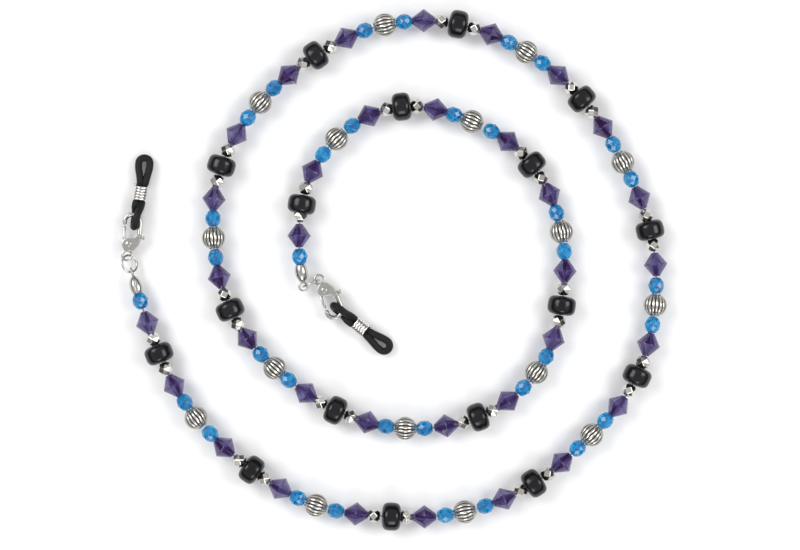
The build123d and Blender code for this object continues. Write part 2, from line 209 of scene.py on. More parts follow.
def grey(level, alpha=1.0):
    return (level, level, level, alpha)


def blueGlass():
    # bright aqua glass, a little different from bead to bead, with softly fire-polished facets that each get
    # a painted highlight or painted shade at random
    finish = Finish("blueGlass", Transmission_Weight=0.62, IOR=1.52, Coat_Weight=0.35, Coat_Roughness=0.03)
    facet = finish.attribute("facetTone")
    cloud = finish.noise(420.0, 2.0)
    colour = finish.ramp(facet * 0.8 + finish.attribute("beadTone") * 0.2,
                         [(0.0, (0.0, 0.08, 0.30, 1)), (0.30, (0.0, 0.24, 0.58, 1)),
                          (0.75, (0.0, 0.38, 0.80, 1)), (1.0, (0.03, 0.62, 0.95, 1))])
    finish.feed(Base_Color=finish.mix(cloud * 0.30, colour, (0.0, 0.46, 0.85, 1)))
    finish.feed(Roughness=finish.span(finish.noise(900.0), 0.03, 0.09))
    finish.bump(finish.noise(650.0, 2.0), 0.00004, 0.6)
    return finish.material


def purpleAcrylic():
    # tanzanite-coloured acrylic: violet, with painted shade that makes it darker and redder towards the
    # girdle and the holes
    finish = Finish("purpleAcrylic", Transmission_Weight=0.70, IOR=1.49, Coat_Weight=0.25,
                    Coat_Roughness=0.04)
    # each facet gets a painted highlight or painted shade at random
    facet = finish.attribute("facetTone")
    edgeShade = finish.attribute("edgeDepth")
    colour = finish.ramp(facet * 0.85 + finish.attribute("beadTone") * 0.15,
                         [(0.0, (0.045, 0.010, 0.09, 1)), (0.30, (0.11, 0.06, 0.30, 1)),
                          (0.60, (0.22, 0.17, 0.62, 1)), (1.0, (0.55, 0.56, 1.0, 1))])
    # painted shade, darker and redder towards the girdle and the holes
    finish.feed(Base_Color=finish.mix(edgeShade * 0.85, colour, (0.05, 0.008, 0.05, 1)))
    finish.feed(Roughness=finish.span(finish.noise(900.0), 0.03, 0.10))
    finish.bump(finish.noise(700.0, 2.0), 0.00003, 0.5)
    return finish.material


def mirrorSilver():
    # warm silver mirror coat, a little different from bead to bead and darker in small specks
    finish = Finish("mirrorSilver", Metallic=1.0, IOR=1.5)
    tone = finish.attribute("beadTone")
    colour = finish.mix(tone, (0.58, 0.555, 0.51, 1), (0.76, 0.74, 0.70, 1))
    specks = finish.ramp(finish.noise(2600.0, 4.0),
                         [(0.0, grey(0.75)), (0.36, grey(0.95)), (1.0, grey(1.0))])
    tinted = finish.node("ShaderNodeMix", {"data_type": "RGBA", "blend_type": "MULTIPLY"},
                         {0: 1.0, 6: colour, 7: specks})
    finish.feed(Base_Color=finish.value(tinted, 2))
    finish.feed(Roughness=finish.span(finish.noise(1200.0), 0.05, 0.14))
    finish.bump(finish.noise(800.0, 2.0), 0.00003, 0.4)
    return finish.material


def blackGlass():
    # polished black glass, with the slight waves of pressed and tumbled beads
    finish = Finish("blackGlass", IOR=1.45, Specular_IOR_Level=0.42)
    tone = finish.attribute("beadTone")
    finish.feed(Base_Color=finish.mix(tone, (0.003, 0.003, 0.004, 1), (0.007, 0.007, 0.009, 1)))
    finish.feed(Roughness=finish.span(finish.noise(700.0), 0.10, 0.24))
    finish.bump(finish.noise(330.0, 2.0), 0.00010, 0.5)
    return finish.material


def antiqueSilver():
    # bright rubbed ribs over grooves filled with black patina
    finish = Finish("antiqueSilver", IOR=1.5)
    groove = finish.attribute("groove")
    stain = finish.noise(1500.0, 4.0)
    mask = finish.ramp(groove + (stain - 0.5) * 0.10,
                       [(0.24, grey(0.0)), (0.40, grey(1.0))])
    ribs = finish.mix(stain, (0.55, 0.52, 0.46, 1), (0.86, 0.84, 0.78, 1))
    finish.feed(Base_Color=finish.mix(mask, ribs, (0.012, 0.010, 0.010, 1)))
    finish.feed(Metallic=1.0 - mask * 0.75)
    finish.feed(Roughness=mask * 0.40 + finish.span(stain, 0.10, 0.24))
    finish.bump(finish.noise(2200.0, 3.0), 0.00003, 0.5)
    return finish.material


def coatedWire():
    # steel strands showing grey through a clear nylon coat
    finish = Finish("coatedWire", Metallic=0.6, Coat_Weight=0.8, Coat_Roughness=0.12)
    twist = finish.noise(3500.0, 2.0)
    finish.feed(Base_Color=finish.mix(twist, (0.16, 0.16, 0.17, 1), (0.34, 0.34, 0.36, 1)))
    finish.feed(Roughness=finish.span(twist, 0.25, 0.42))
    finish.bump(twist, 0.00003, 0.5)
    return finish.material


def platedSilver(name, bright, dull, low, high):
    # silver plate with fine rub marks, duller in patches
    finish = Finish(name, Metallic=1.0, IOR=1.5)
    patch = finish.noise(450.0, 4.0)
    rubs = finish.noise(3800.0, 2.0)
    finish.feed(Base_Color=finish.mix(patch, bright, dull))
    finish.feed(Roughness=finish.span(patch * 0.5 + rubs * 0.5, low, high))
    finish.bump(rubs, 0.000015, 0.5)
    return finish.material


def blackRubber():
    # matte moulded rubber, a fine skin texture and a dusty bloom
    finish = Finish("blackRubber", IOR=1.5, Specular_IOR_Level=0.22, Sheen_Weight=0.03, Sheen_Roughness=0.5)
    skin = finish.noise(5200.0, 3.0, 0.6)
    bloom = finish.noise(700.0, 4.0)
    finish.feed(Base_Color=finish.mix(bloom, (0.004, 0.004, 0.005, 1), (0.013, 0.013, 0.014, 1)))
    finish.feed(Roughness=finish.span(skin * 0.6 + bloom * 0.4, 0.42, 0.62))
    finish.bump(skin, 0.00005, 0.6)
    return finish.material


def paleFloor():
    finish = Finish("paleFloor", Specular_IOR_Level=0.15)
    finish.feed(Base_Color=finish.mix(finish.noise(30.0), studio["floorColour"], grey(0.91)))
    finish.feed(Roughness=finish.span(finish.noise(60.0), 0.75, 0.9))
    return finish.material


finishes = {
    "blue_glass": blueGlass(),
    "purple_glass": purpleAcrylic(),
    "mirror_silver": mirrorSilver(),
    "black_glass": blackGlass(),
    "antique_silver": antiqueSilver(),
    "coated_wire": coatedWire(),
    "fitting_silver": platedSilver("fittingSilver", (0.62, 0.61, 0.58, 1), (0.46, 0.45, 0.42, 1),
                                   0.12, 0.24),
    "spring_steel": platedSilver("springSteel", (0.60, 0.60, 0.62, 1), (0.45, 0.45, 0.47, 1),
                                 0.25, 0.38),
    "coil_silver": platedSilver("coilSilver", (0.88, 0.87, 0.85, 1), (0.76, 0.73, 0.69, 1),
                                0.08, 0.18),
    "black_rubber": blackRubber(),
}
print("materials made:", ", ".join(finishes))


def gridFaces(rows, cols, wrapRows=False, wrapCols=True):
    # four-cornered faces between neighbours on a rows by cols grid of points
    row = np.arange(rows if wrapRows else rows - 1)[:, None]
    col = np.arange(cols if wrapCols else cols - 1)[None, :]
    nextRow = (row + 1) % rows
    nextCol = (col + 1) % cols
    corners = [row * cols + col, row * cols + nextCol, nextRow * cols + nextCol, nextRow * cols + col]
    return np.stack([np.broadcast_to(c, (len(row), col.shape[1])) for c in corners], -1).reshape(-1, 4)


def closedGrid(points):
    # a surface that closes both ways, like a ring
    rows, cols, _ = points.shape
    return points.reshape(-1, 3), [gridFaces(rows, cols, True, True)]


def cappedGrid(points):
    # a tube of rings: both ends are closed by a fan around a middle point
    rows, cols, _ = points.shape
    first = rows * cols
    ring = np.arange(cols)
    around = (ring + 1) % cols
    startFan = np.stack([np.full(cols, first), around, ring], -1)
    endFan = np.stack([np.full(cols, first + 1), first - cols + ring, first - cols + around], -1)
    middles = np.stack([points[0].mean(0), points[-1].mean(0)])
    return np.concatenate([points.reshape(-1, 3), middles]), [gridFaces(rows, cols), startFan, endFan]


def carriedFrames(path):
    # tangents, and side vectors carried from point to point with the part along the tangent taken out
    tangents = np.gradient(path, axis=0)
    tangents /= np.linalg.norm(tangents, axis=1, keepdims=True)
    start = np.array([0.0, 0.0, 1.0]) if abs(tangents[0][2]) < 0.8 else np.array([0.0, 1.0, 0.0])
    sides = np.empty_like(path)
    side = np.cross(start, tangents[0])
    for at, tangent in enumerate(tangents):
        side = side - tangent * side.dot(tangent)
        side = side / np.linalg.norm(side)
        sides[at] = side
    return tangents, sides, np.cross(tangents, sides)


def roundSection(count, power=1.0):
    # a superellipse: cosine and sine, each raised to a power that squares it off below 1
    angle = np.linspace(0, 2 * math.pi, count, endpoint=False)
    across = np.sign(np.cos(angle)) * np.abs(np.cos(angle)) ** power
    along = np.sign(np.sin(angle)) * np.abs(np.sin(angle)) ** power
    return across, along


def tubeGrid(path, halfWidth, halfDepth=None, count=16, power=1.0):
    # rings of a section carried along a path: path + side * width * cos + lift * depth * sin
    halfWidth = np.broadcast_to(halfWidth, len(path))[:, None, None]
    halfDepth = halfWidth if halfDepth is None else np.broadcast_to(halfDepth, len(path))[:, None, None]
    _, sides, lifts = carriedFrames(path)
    across, along = roundSection(count, power)
    return (path[:, None] + sides[:, None] * across[None, :, None] * halfWidth
            + lifts[:, None] * along[None, :, None] * halfDepth)


def roundedEnds(path, halfWidth, share):
    # widths that fall to nearly nothing over the last share of a path's length, as a quarter circle
    steps = np.linspace(0, 1, len(path))
    into = np.clip((1 - steps) / share, 0, 1)
    return halfWidth * np.sqrt(np.clip(1 - (1 - into) ** 2, 0.02, 1))


def makePiece(name, shells, body, replaced, slotName, smooth=True, attributes=None, paintedFacetLights=None):
    # one object from closed shells, riding on its body and standing for its CAD nodes
    mesh = bpy.data.meshes.new(name)
    points = np.concatenate([shell[0] for shell in shells])
    faces = []
    offset = 0
    for shellPoints, shellFaces in shells:
        for group in shellFaces:
            faces += (group + offset).tolist()
        offset += len(shellPoints)
    mesh.from_pydata(points.tolist(), [], faces)
    for key, numbers in (attributes or {}).items():
        tones = mesh.attributes.new(key, "FLOAT", "POINT")
        tones.data.foreach_set("value", numbers.astype(np.float32))
    # a painted highlight or painted shade for each facet, at random
    if paintedFacetLights is not None:
        facets = mesh.attributes.new("facetTone", "FLOAT", "FACE")
        facets.data.foreach_set("value", paintedFacetLights.astype(np.float32))
    shape = bmesh.new()
    shape.from_mesh(mesh)
    bmesh.ops.recalc_face_normals(shape, faces=shape.faces)
    shape.to_mesh(mesh)
    shape.free()
    mesh.polygons.foreach_set("use_smooth", np.full(len(mesh.polygons), smooth))
    mesh.materials.append(finishes[slotName])
    piece = bpy.data.objects.new(name, mesh)
    bpy.context.scene.collection.objects.link(piece)
    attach(piece, body)
    if replaced:
        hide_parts(*replaced)
    return piece


def splineLine(points, closed=False, resolution=24):
    # the smooth line of a NURBS spline that has the points as its control points
    data = bpy.data.curves.new("line", "CURVE")
    data.dimensions = "3D"
    data.resolution_u = resolution
    spline = data.splines.new("NURBS")
    spline.points.add(len(points) - 1)
    for knot, point in zip(spline.points, points):
        knot.co = (*[float(x) for x in point], 1.0)
    spline.order_u = 3
    spline.use_endpoint_u = not closed
    spline.use_cyclic_u = closed
    holder = bpy.data.objects.new("line", data)
    mesh = bpy.data.meshes.new_from_object(holder)
    line = np.empty(len(mesh.vertices) * 3, dtype=np.float32)
    mesh.vertices.foreach_get("co", line)
    line = line.reshape(-1, 3).astype(float)
    bpy.data.objects.remove(holder)
    bpy.data.curves.remove(data)
    bpy.data.meshes.remove(mesh)
    return line


strand = {
    "height": 0.0036,
    "layScale": 1.0047,
    "wire": 0.00045,
    "wireBreak": 0.0005,
    "wireStep": 0.0006,
    "intoTip": 0.00225,
    "tangentReach": 0.0004,
    "leastBeadGap": 0.0035,
    "bead": {"tilt": 1.2, "seed": 11, "edge": 0.05, "edgeAngle": 12},
}
strapRoute = [
    (-0.0651, -0.0060), (-0.0606, -0.0210), (-0.0514, -0.0373), (-0.0374, -0.0505),
    (-0.0204, -0.0606), (-0.0022, -0.0629), (0.0168, -0.0625), (0.0350, -0.0554),
    (0.0495, -0.0430), (0.0620, -0.0289), (0.0670, -0.0099), (0.0662, 0.0090),
    (0.0587, 0.0274), (0.0484, 0.0439), (0.0337, 0.0563), (0.0160, 0.0636),
    (-0.0032, 0.0633), (-0.0206, 0.0550), (-0.0352, 0.0425), (-0.0454, 0.0259),
    (-0.0465, 0.0070), (-0.0421, -0.0118), (-0.0301, -0.0260), (-0.0136, -0.0372),
    (0.0044, -0.0412), (0.0238, -0.0376), (0.0380, -0.0257), (0.0436, -0.0076),
    (0.0432, 0.0116), (0.0348, 0.0292), (0.0190, 0.0390), (0.0007, 0.0431),
    (-0.0154, 0.0345), (-0.0252, 0.0176), (-0.0239, 0.0016),
]
jointPlaces = {j["name"]: np.array(j.get("pos_m", (0, 0, 0)), float) for j in record["behaviour"]["joints"]}

strandLine = splineLine([(x * strand["layScale"], y * strand["layScale"], strand["height"])
                         for x, y in strapRoute])
lineSteps = np.linalg.norm(np.diff(strandLine, axis=0), axis=1)
lineAt = np.concatenate([[0.0], np.cumsum(lineSteps)])
strandLength = lineAt[-1]
print("strand line:", len(strandLine), "points,", round(strandLength, 4), "m")


def alongLine(at):
    # the point and the unit tangent at each distance along the strand
    at = np.atleast_1d(at)
    behind, here, ahead = (
        np.stack([np.interp(at + shift, lineAt, strandLine[:, k]) for k in range(3)], -1)
        for shift in (-strand["tangentReach"], 0.0, strand["tangentReach"]))
    tangent = ahead - behind
    return here, tangent / np.linalg.norm(tangent, axis=1, keepdims=True)


def nearestOnLine(points):
    # how far along the strand the nearest point of its line is, for each point
    found = np.empty(len(points))
    for start in range(0, len(points), 2000):
        block = points[start:start + 2000]
        gaps = ((block[:, None] - strandLine[None]) ** 2).sum(-1)
        found[start:start + 2000] = lineAt[gaps.argmin(1)]
    return found


def makeWires():
    # one tube for each strand length, cut short of the places where the strand bends
    bends = [nearestOnLine(jointPlaces[f"strand_{n}_bend"][None])[0] for n in (1, 2, 3, 4, 6, 7)]
    starts = [-strand["intoTip"]] + [at + strand["wireBreak"] for at in bends]
    stops = [at - strand["wireBreak"] for at in bends] + [strandLength + strand["intoTip"]]
    for number, (start, stop) in enumerate(zip(starts, stops), 1):
        steps = np.linspace(start, stop, int((stop - start) / strand["wireStep"]) + 2)
        inside = np.clip(steps, 0, strandLength)
        path, tangents = alongLine(inside)
        path = path + tangents * (steps - inside)[:, None]
        wire = makePiece(f"wire_{number}", [cappedGrid(tubeGrid(path, strand["wire"] / 2, count=10))],
                         f"strand_{number}", [f"strand_{number}_beading_wire"], "coated_wire")
        stop - start


makeWires()
print("wires made")


def nodePoints(node):
    # the corner points of a node of the CAD model
    mesh = frame["nodes"][node].data
    points = np.empty(len(mesh.vertices) * 3, dtype=np.float32)
    mesh.vertices.foreach_get("co", points)
    return points.reshape(-1, 3).astype(float)


def beadStations(node):
    # the middle of each bead of a node, along the strand: its points lie in separate runs
    at = np.sort(nearestOnLine(nodePoints(node)))
    runs = np.split(at, np.nonzero(np.diff(at) > strand["leastBeadGap"])[0] + 1)
    return np.array([(run[0] + run[-1]) / 2 for run in runs])


def ringsOfBead(rings, count):
    # rings of points around X, each (along, radius, turn), where turn is a share of one step
    rings = np.array(rings, float)
    angle = (np.arange(count)[None, :] + rings[:, 2:3]) * 2 * math.pi / count
    return np.stack([np.broadcast_to(rings[:, 0:1], angle.shape),
                     rings[:, 1:2] * np.cos(angle), rings[:, 1:2] * np.sin(angle)], -1)


def facetFaces(rings, count):
    # two rings half a step apart are joined by triangles, two rings in line by four-cornered panels
    faces = []
    ring = np.arange(count)
    rows = len(rings)
    for row in range(rows):
        here = row * count
        there = (row + 1) % rows * count
        shift = rings[(row + 1) % rows][2] - rings[row][2]
        after = (ring + 1) % count
        if shift == 0:
            faces.append(np.stack([here + ring, here + after, there + after, there + ring], -1))
        elif shift > 0:
            faces.append(np.stack([here + ring, here + after, there + ring], -1))
            faces.append(np.stack([here + after, there + after, there + ring], -1))
        else:
            faces.append(np.stack([here + ring, there + after, there + ring], -1))
            faces.append(np.stack([here + ring, here + after, there + after], -1))
    return faces


def facetBead(shape):
    # a cut bead: facet rings mirrored about the girdle, and a plain round hole
    outer = [(-x, r, turn) for x, r, turn in shape["rings"]]
    outer += [(x, r, turn) for x, r, turn in reversed(shape["rings"]) if x > 0]
    half, _, turn = shape["rings"][0]
    inside = half - shape["boreIn"]
    bore = [(inside, shape["hole"], turn), (-inside, shape["hole"], turn)]
    rings = outer + bore
    points = ringsOfBead(rings, shape["sides"]) * mm
    return points.reshape(-1, 3), facetFaces(rings, shape["sides"])


def paintedShadeMask(points, shape):
    # the painted shade of the purple bicones: how near a point is to a hole or the girdle, |share of the
    # half length - middle| * slope - start
    edgeShade = shape["edgeShade"]
    along = np.abs(points[:, 0]) / mm / shape["rings"][0][0]
    return np.clip(np.abs(along - edgeShade["middle"]) * edgeShade["slope"] - edgeShade["start"], 0, 1)


blueShape = {
    "sides": 8,
    "hole": 0.45,
    "boreIn": 0.1,
    "rings": [(2.06, 0.95, 0.0), (1.66, 1.42, 0.5), (0.86, 1.89, 0.0), (0.0, 2.05, 0.5)],
}
purpleShape = {
    "sides": 14,
    "hole": 0.48,
    "boreIn": 0.1,
    "rings": [(3.01, 0.86, 0.0), (2.60, 1.12, 0.0), (0.14, 2.98, 0.5), (0.0, 3.05, 0.0)],
    "edgeShade": {"middle": 0.45, "slope": 2.2, "start": 0.35},
}
silverShape = {
    "sides": 6,
    "hole": 0.48,
    "boreIn": 0.1,
    "rings": [(1.61, 0.92, 0.5), (0.98, 1.62, 0.0), (0.0, 2.0, 0.5)],
}
blackShape = {
    "half": 2.41,
    "radius": 3.6,
    "hole": 0.5,
    "boreIn": 0.12,
    "rim": 0.85,
    "power": 0.62,
    "around": 40,
    "steps": 22,
}
ribbedShape = {
    "half": 2.91,
    "radius": 3.0,
    "hole": 0.5,
    "collar": 1.25,
    "collarLength": 0.20,
    "collarFoot": 0.86,
    "boreIn": 0.12,
    "ribs": 18,
    "ribDepth": 0.26,
    "ribPower": 0.8,
    "fadePower": 0.35,
    "footPatina": 0.9,
    "samples": 8,
    "steps": 22,
}


def rondelleBead(shape):
    # a superellipse profile turned about X: radius rim + (radius - rim) * sin^p, along half * cos^p
    angle = np.linspace(0, math.pi, shape["steps"])
    along = -np.sign(np.cos(angle)) * np.abs(np.cos(angle)) ** shape["power"] * shape["half"]
    radius = shape["rim"] + (shape["radius"] - shape["rim"]) * np.sin(angle) ** shape["power"]
    inside = shape["half"] - shape["boreIn"]
    bore = [(inside, shape["hole"], 0), (-inside, shape["hole"], 0)]
    rings = [(x, r, 0) for x, r in zip(along, radius)] + bore
    return closedGrid(ringsOfBead(rings, shape["around"]) * mm)


def ribbedBead(shape):
    # a sphere's profile between two collars, its radius cut by
    # rib depth * (1 - |cos(ribs * angle / 2)|^p) * sin(share of the length * pi)^q
    bodyHalf = shape["half"] - shape["collarLength"]
    start = math.asin(shape["collar"] / shape["radius"])
    angle = np.linspace(start, math.pi - start, shape["steps"])
    along = -np.cos(angle) / math.cos(start) * bodyHalf
    radius = shape["radius"] * np.sin(angle)
    count = shape["ribs"] * shape["samples"]
    turn = np.arange(count) * 2 * math.pi / count
    wave = 1 - np.abs(np.cos(turn * shape["ribs"] / 2)) ** shape["ribPower"]
    fade = np.sin((angle - start) / (math.pi - 2 * start) * math.pi) ** shape["fadePower"]
    cut = radius[:, None] - shape["ribDepth"] * fade[:, None] * wave[None]
    half, collar, hole = shape["half"], shape["collar"], shape["hole"]
    # the collar from its foot on the body out to its rim and into the hole
    collarRings = [(-bodyHalf - 0.04, collar * shape["collarFoot"]), (-bodyHalf - 0.10, collar),
                   (-half + 0.08, collar), (-half, collar - 0.10),
                   (-half, hole + 0.12), (-half + shape["boreIn"], hole)]
    xs = np.concatenate([[x for x, _ in reversed(collarRings)], along, [-x for x, _ in collarRings]])
    collarRadii = np.array([r for _, r in collarRings])[:, None]
    radii = np.concatenate([np.tile(collarRadii[::-1], count), cut, np.tile(collarRadii, count)])
    rings = len(collarRings)
    groove = np.zeros_like(radii)
    groove[rings:-rings] = wave[None] * fade[:, None]
    groove[[rings - 1, -rings]] = shape["footPatina"]
    points = np.stack([np.broadcast_to(xs[:, None], radii.shape),
                       radii * np.cos(turn), radii * np.sin(turn)], -1) * mm
    return closedGrid(points), groove.reshape(-1)


def threadBeads(kind, shell, slotName, extra=None, smooth=False):
    # one piece for each strand length: copies of a bead, each turned on the wire and tilted a little
    points, faces = shell
    bead = strand["bead"]
    chance = np.random.default_rng(bead["seed"] + len(kind))
    for number in range(1, 8):
        node = f"strand_{number}_{kind}"
        centres, tangent = alongLine(beadStations(node))
        count = len(centres)
        swing = np.radians(chance.uniform(-1, 1, (count, 2)) * bead["tilt"])
        up = np.array([0.0, 0.0, 1.0])
        side = np.cross(up, tangent)
        tangent = tangent + side * swing[:, :1] + up * swing[:, 1:]
        tangent /= np.linalg.norm(tangent, axis=1, keepdims=True)
        spin = chance.uniform(0, 2 * math.pi, count)[:, None]
        side = np.cross(up, tangent)
        side /= np.linalg.norm(side, axis=1, keepdims=True)
        lift = np.cross(tangent, side)
        second = side * np.cos(spin) + lift * np.sin(spin)
        third = np.cross(tangent, second)
        axes = np.stack([tangent, second, third], 1)
        placed = centres[:, None] + np.einsum("pk,bkc->bpc", points, axes)
        offsets = (np.arange(count) * len(points))[:, None, None]
        placedFaces = [(group[None] + offsets).reshape(-1, group.shape[1]) for group in faces]
        tones = {"beadTone": np.repeat(chance.uniform(0, 1, count), len(points))}
        for key, numbers in (extra or {}).items():
            tones[key] = np.tile(numbers, count)
        # cut beads get a random painted highlight or painted shade on each facet
        paintedFacetLights = None if smooth else chance.uniform(0, 1, sum(len(group) for group in placedFaces))
        piece = makePiece(f"{kind}_{number}", [(placed.reshape(-1, 3), placedFaces)],
                          f"strand_{number}", [node], slotName, smooth, tones, paintedFacetLights)
        if not smooth:
            edges = piece.modifiers.new("softEdges", "BEVEL")
            edges.width = bead["edge"] * mm
            edges.segments = 1
            edges.angle_limit = math.radians(bead["edgeAngle"])


blueBead = facetBead(blueShape)
threadBeads("blue_glass_beads", blueBead, "blue_glass")
purpleBead = facetBead(purpleShape)
purplePaintedShade = paintedShadeMask(purpleBead[0], purpleShape)
threadBeads("purple_bicones", purpleBead, "purple_glass", {"edgeDepth": purplePaintedShade})
threadBeads("silver_bicones", facetBead(silverShape), "mirror_silver")
threadBeads("black_rondelles", rondelleBead(blackShape), "black_glass", smooth=True)
ribbed, ribbedGroove = ribbedBead(ribbedShape)
threadBeads("corrugated_silver_beads", ribbed, "antique_silver", {"groove": ribbedGroove},
            smooth=True)
print("beads threaded")


def seat(origin, heading, fall=0.0, flipped=False):
    # a local frame: its origin, and its X, Y and Z as rows, with X turned to a heading and lowered
    turn = math.radians(heading)
    drop = math.radians(fall)
    flat = np.array([math.cos(turn), math.sin(turn), 0.0])
    x = flat * math.cos(drop) - np.array([0, 0, math.sin(drop)])
    y = np.array([-math.sin(turn), math.cos(turn), 0.0])
    if flipped:
        y = -y
    return np.array(origin, float), np.stack([x, y, np.cross(x, y)])


def place(local, points):
    # local millimetres to metres in the row frame
    origin, axes = local
    return origin + np.asarray(points, float) * mm @ axes


# headings of each end's parts in degrees, the ring's tilt, and how its clasp and rubber are turned over
ends = {
    "outer": {"tip": 106.0, "ring": 107.0, "tilt": 40.0, "clasp": 83.5,
              "flipped": False, "rubber": 79.0, "temple": 87.0, "loopUpright": True, "over": -1},
    "inner": {"tip": -82.0, "ring": 23.5, "tilt": 90.0, "clasp": -66.5,
              "flipped": True, "rubber": -39.0, "temple": -37.0, "loopUpright": False, "over": 1},
}
tipFall = 3.888  # degrees by which tip and ring slope down to the floor

tipShape = {
    "length": 4.7,
    "wall": 0.28,
    "wallEnds": 0.6,
    "hollowLeast": 0.12,
    "mouth": 1.02,
    "middle": 1.62,
    "neck": 0.46,
    "swellShift": 0.8,
    "swellPower": 0.65,
    "seam": 0.10,
    "loopRadius": 1.05,
    "loopWire": 0.25,
    "loopAt": 5.85,
    "stem": [0.495, 0.429, 0.33, 0.297, 0.297, 0.33],
    "stemIntoTip": 0.5,
}
ringShape = {"radius": 2.2, "wire": 0.3, "split": 0.10}
rubberShape = {
    "radius": 0.925,
    "squeezed": 0.74,
    "onHook": (8.0, -0.95, 0.0),
    "wrap": 1.86,
    "foldAt": 1.35,
    "foldLean": 0.24,
    "pastHook": [(3.0, 0.45, 1.8228), (4.7, 0.80, 0.25), (5.9, 0.72, -0.5), (8.3, 0.60, -0.5),
                 (10.7, 0.60, -0.5)],
    "lowerShare": 0.98,
    "neckDrop": 0.5,
    "coilStart": 6.25,
    "coilEnd": 10.5,
    "squeezeOver": 0.9,
    "templeAt": 11.5,
    "templeFall": 7.47,
    "templeSide": [(0.5, 0.80), (2.0, 1.12), (3.3, 1.44)],
    "templeHalf": 1.475,
    "templeFar": 5.975,
}
coilShape = {"radius": 1.735, "wire": 0.345, "start": 6.575, "pitch": 0.72, "turns": 5.0}


def makeTip(end, spec):
    # two thin cups, each half a turned profile, joined to an upright or flat loop by a short stem
    shape = tipShape
    local = seat(jointPlaces[f"{end}_tip_swing"], spec["tip"], tipFall)
    steps = np.linspace(0, 1, 26)
    # radius: from mouth to neck in a straight line, swollen by sin(pi * share^a)^b to the middle
    swell = np.sin(steps ** shape["swellShift"] * math.pi) ** shape["swellPower"]
    straight = shape["mouth"] * (1 - steps) + shape["neck"] * steps
    radius = straight + (shape["middle"] - straight) * swell
    wall = shape["wall"]
    closing = wall * shape["wallEnds"]
    outer = np.stack([steps * shape["length"], radius], -1)
    inner = np.stack([closing + steps * (shape["length"] - closing * 2),
                      np.maximum(radius - wall, shape["hollowLeast"])], -1)
    profile = np.concatenate([outer, inner[::-1]])
    shells = []
    half = math.asin(shape["seam"] / 2 / shape["middle"])
    base = 0.0 if spec["loopUpright"] else math.pi / 2
    for start in (base + half, base + math.pi + half):
        # the cups meet in the plane of the loop
        angle = np.linspace(start, start + math.pi - 2 * half, 24) + math.pi / 2
        grid = np.stack([np.broadcast_to(profile[None, :, 0], (24, len(profile))),
                         profile[None, :, 1] * np.cos(angle)[:, None],
                         profile[None, :, 1] * np.sin(angle)[:, None]], -1)
        shells.append(cappedGrid(place(local, grid)))
    turn = np.linspace(0, 2 * math.pi, 48, endpoint=False)
    flat = np.zeros(48)
    reach = shape["loopRadius"] * np.sin(turn)
    loop = np.stack([shape["loopAt"] + shape["loopRadius"] * np.cos(turn),
                     flat if spec["loopUpright"] else reach, reach if spec["loopUpright"] else flat], -1)
    shells.append(closedGrid(ringTube(loop, shape["loopWire"], 12, local)))
    stemStart = shape["length"] - shape["stemIntoTip"]
    stemEnd = shape["loopAt"] - shape["loopRadius"] + 0.05
    stem = np.linspace((stemStart, 0, 0), (stemEnd, 0, 0), len(shape["stem"]))
    shells.append(cappedGrid(tubeGrid(place(local, stem), np.array(shape["stem"]) * mm)))
    makePiece(f"{end}_tip", shells, f"{end}_bead_tip", [f"{end}_bead_tip"], "fitting_silver")


def ringTube(loop, wire, count, local):
    # a tube around a closed flat loop: each section lies between the loop's outward and normal directions
    middle = loop.mean(0)
    outward = loop - middle
    outward /= np.linalg.norm(outward, axis=1, keepdims=True)
    normal = np.cross(outward[0], outward[len(loop) // 4])
    normal /= np.linalg.norm(normal)
    angle = np.linspace(0, 2 * math.pi, count, endpoint=False)
    grid = (loop[:, None] + outward[:, None] * np.cos(angle)[None, :, None] * wire
            + normal[None, None] * np.sin(angle)[None, :, None] * wire)
    return place(local, grid)


def makeRing(end, spec):
    # an open ring of round wire, its cut ends almost meeting
    local = seat(jointPlaces[f"{end}_ring_swing"], spec["ring"], tipFall)
    tilt = math.radians(spec["tilt"])
    radius = ringShape["radius"]
    gap = ringShape["split"] / radius / 2
    turn = np.linspace(math.pi / 2 + gap, math.pi * 2.5 - gap, 90)
    across = radius * np.sin(turn)
    path = np.stack([radius * (1 + np.cos(turn)), across * math.cos(tilt), across * math.sin(tilt)], -1)
    grid = tubeGrid(place(local, path), ringShape["wire"] * mm, count=14)
    makePiece(f"{end}_ring", [cappedGrid(grid)], f"{end}_jump_ring", [f"{end}_jump_ring"], "fitting_silver")


def arcCorners(middle, radius, start, stop, count):
    # corners of a polygon around an arc, which a spline of order 3 rounds into that arc
    step = (stop - start) / count
    turn = np.radians(start + step * (np.arange(count) + 0.5))
    reach = radius / math.cos(math.radians(step) / 2)
    return np.stack([middle[0] + reach * np.cos(turn), middle[1] + reach * np.sin(turn)], -1)


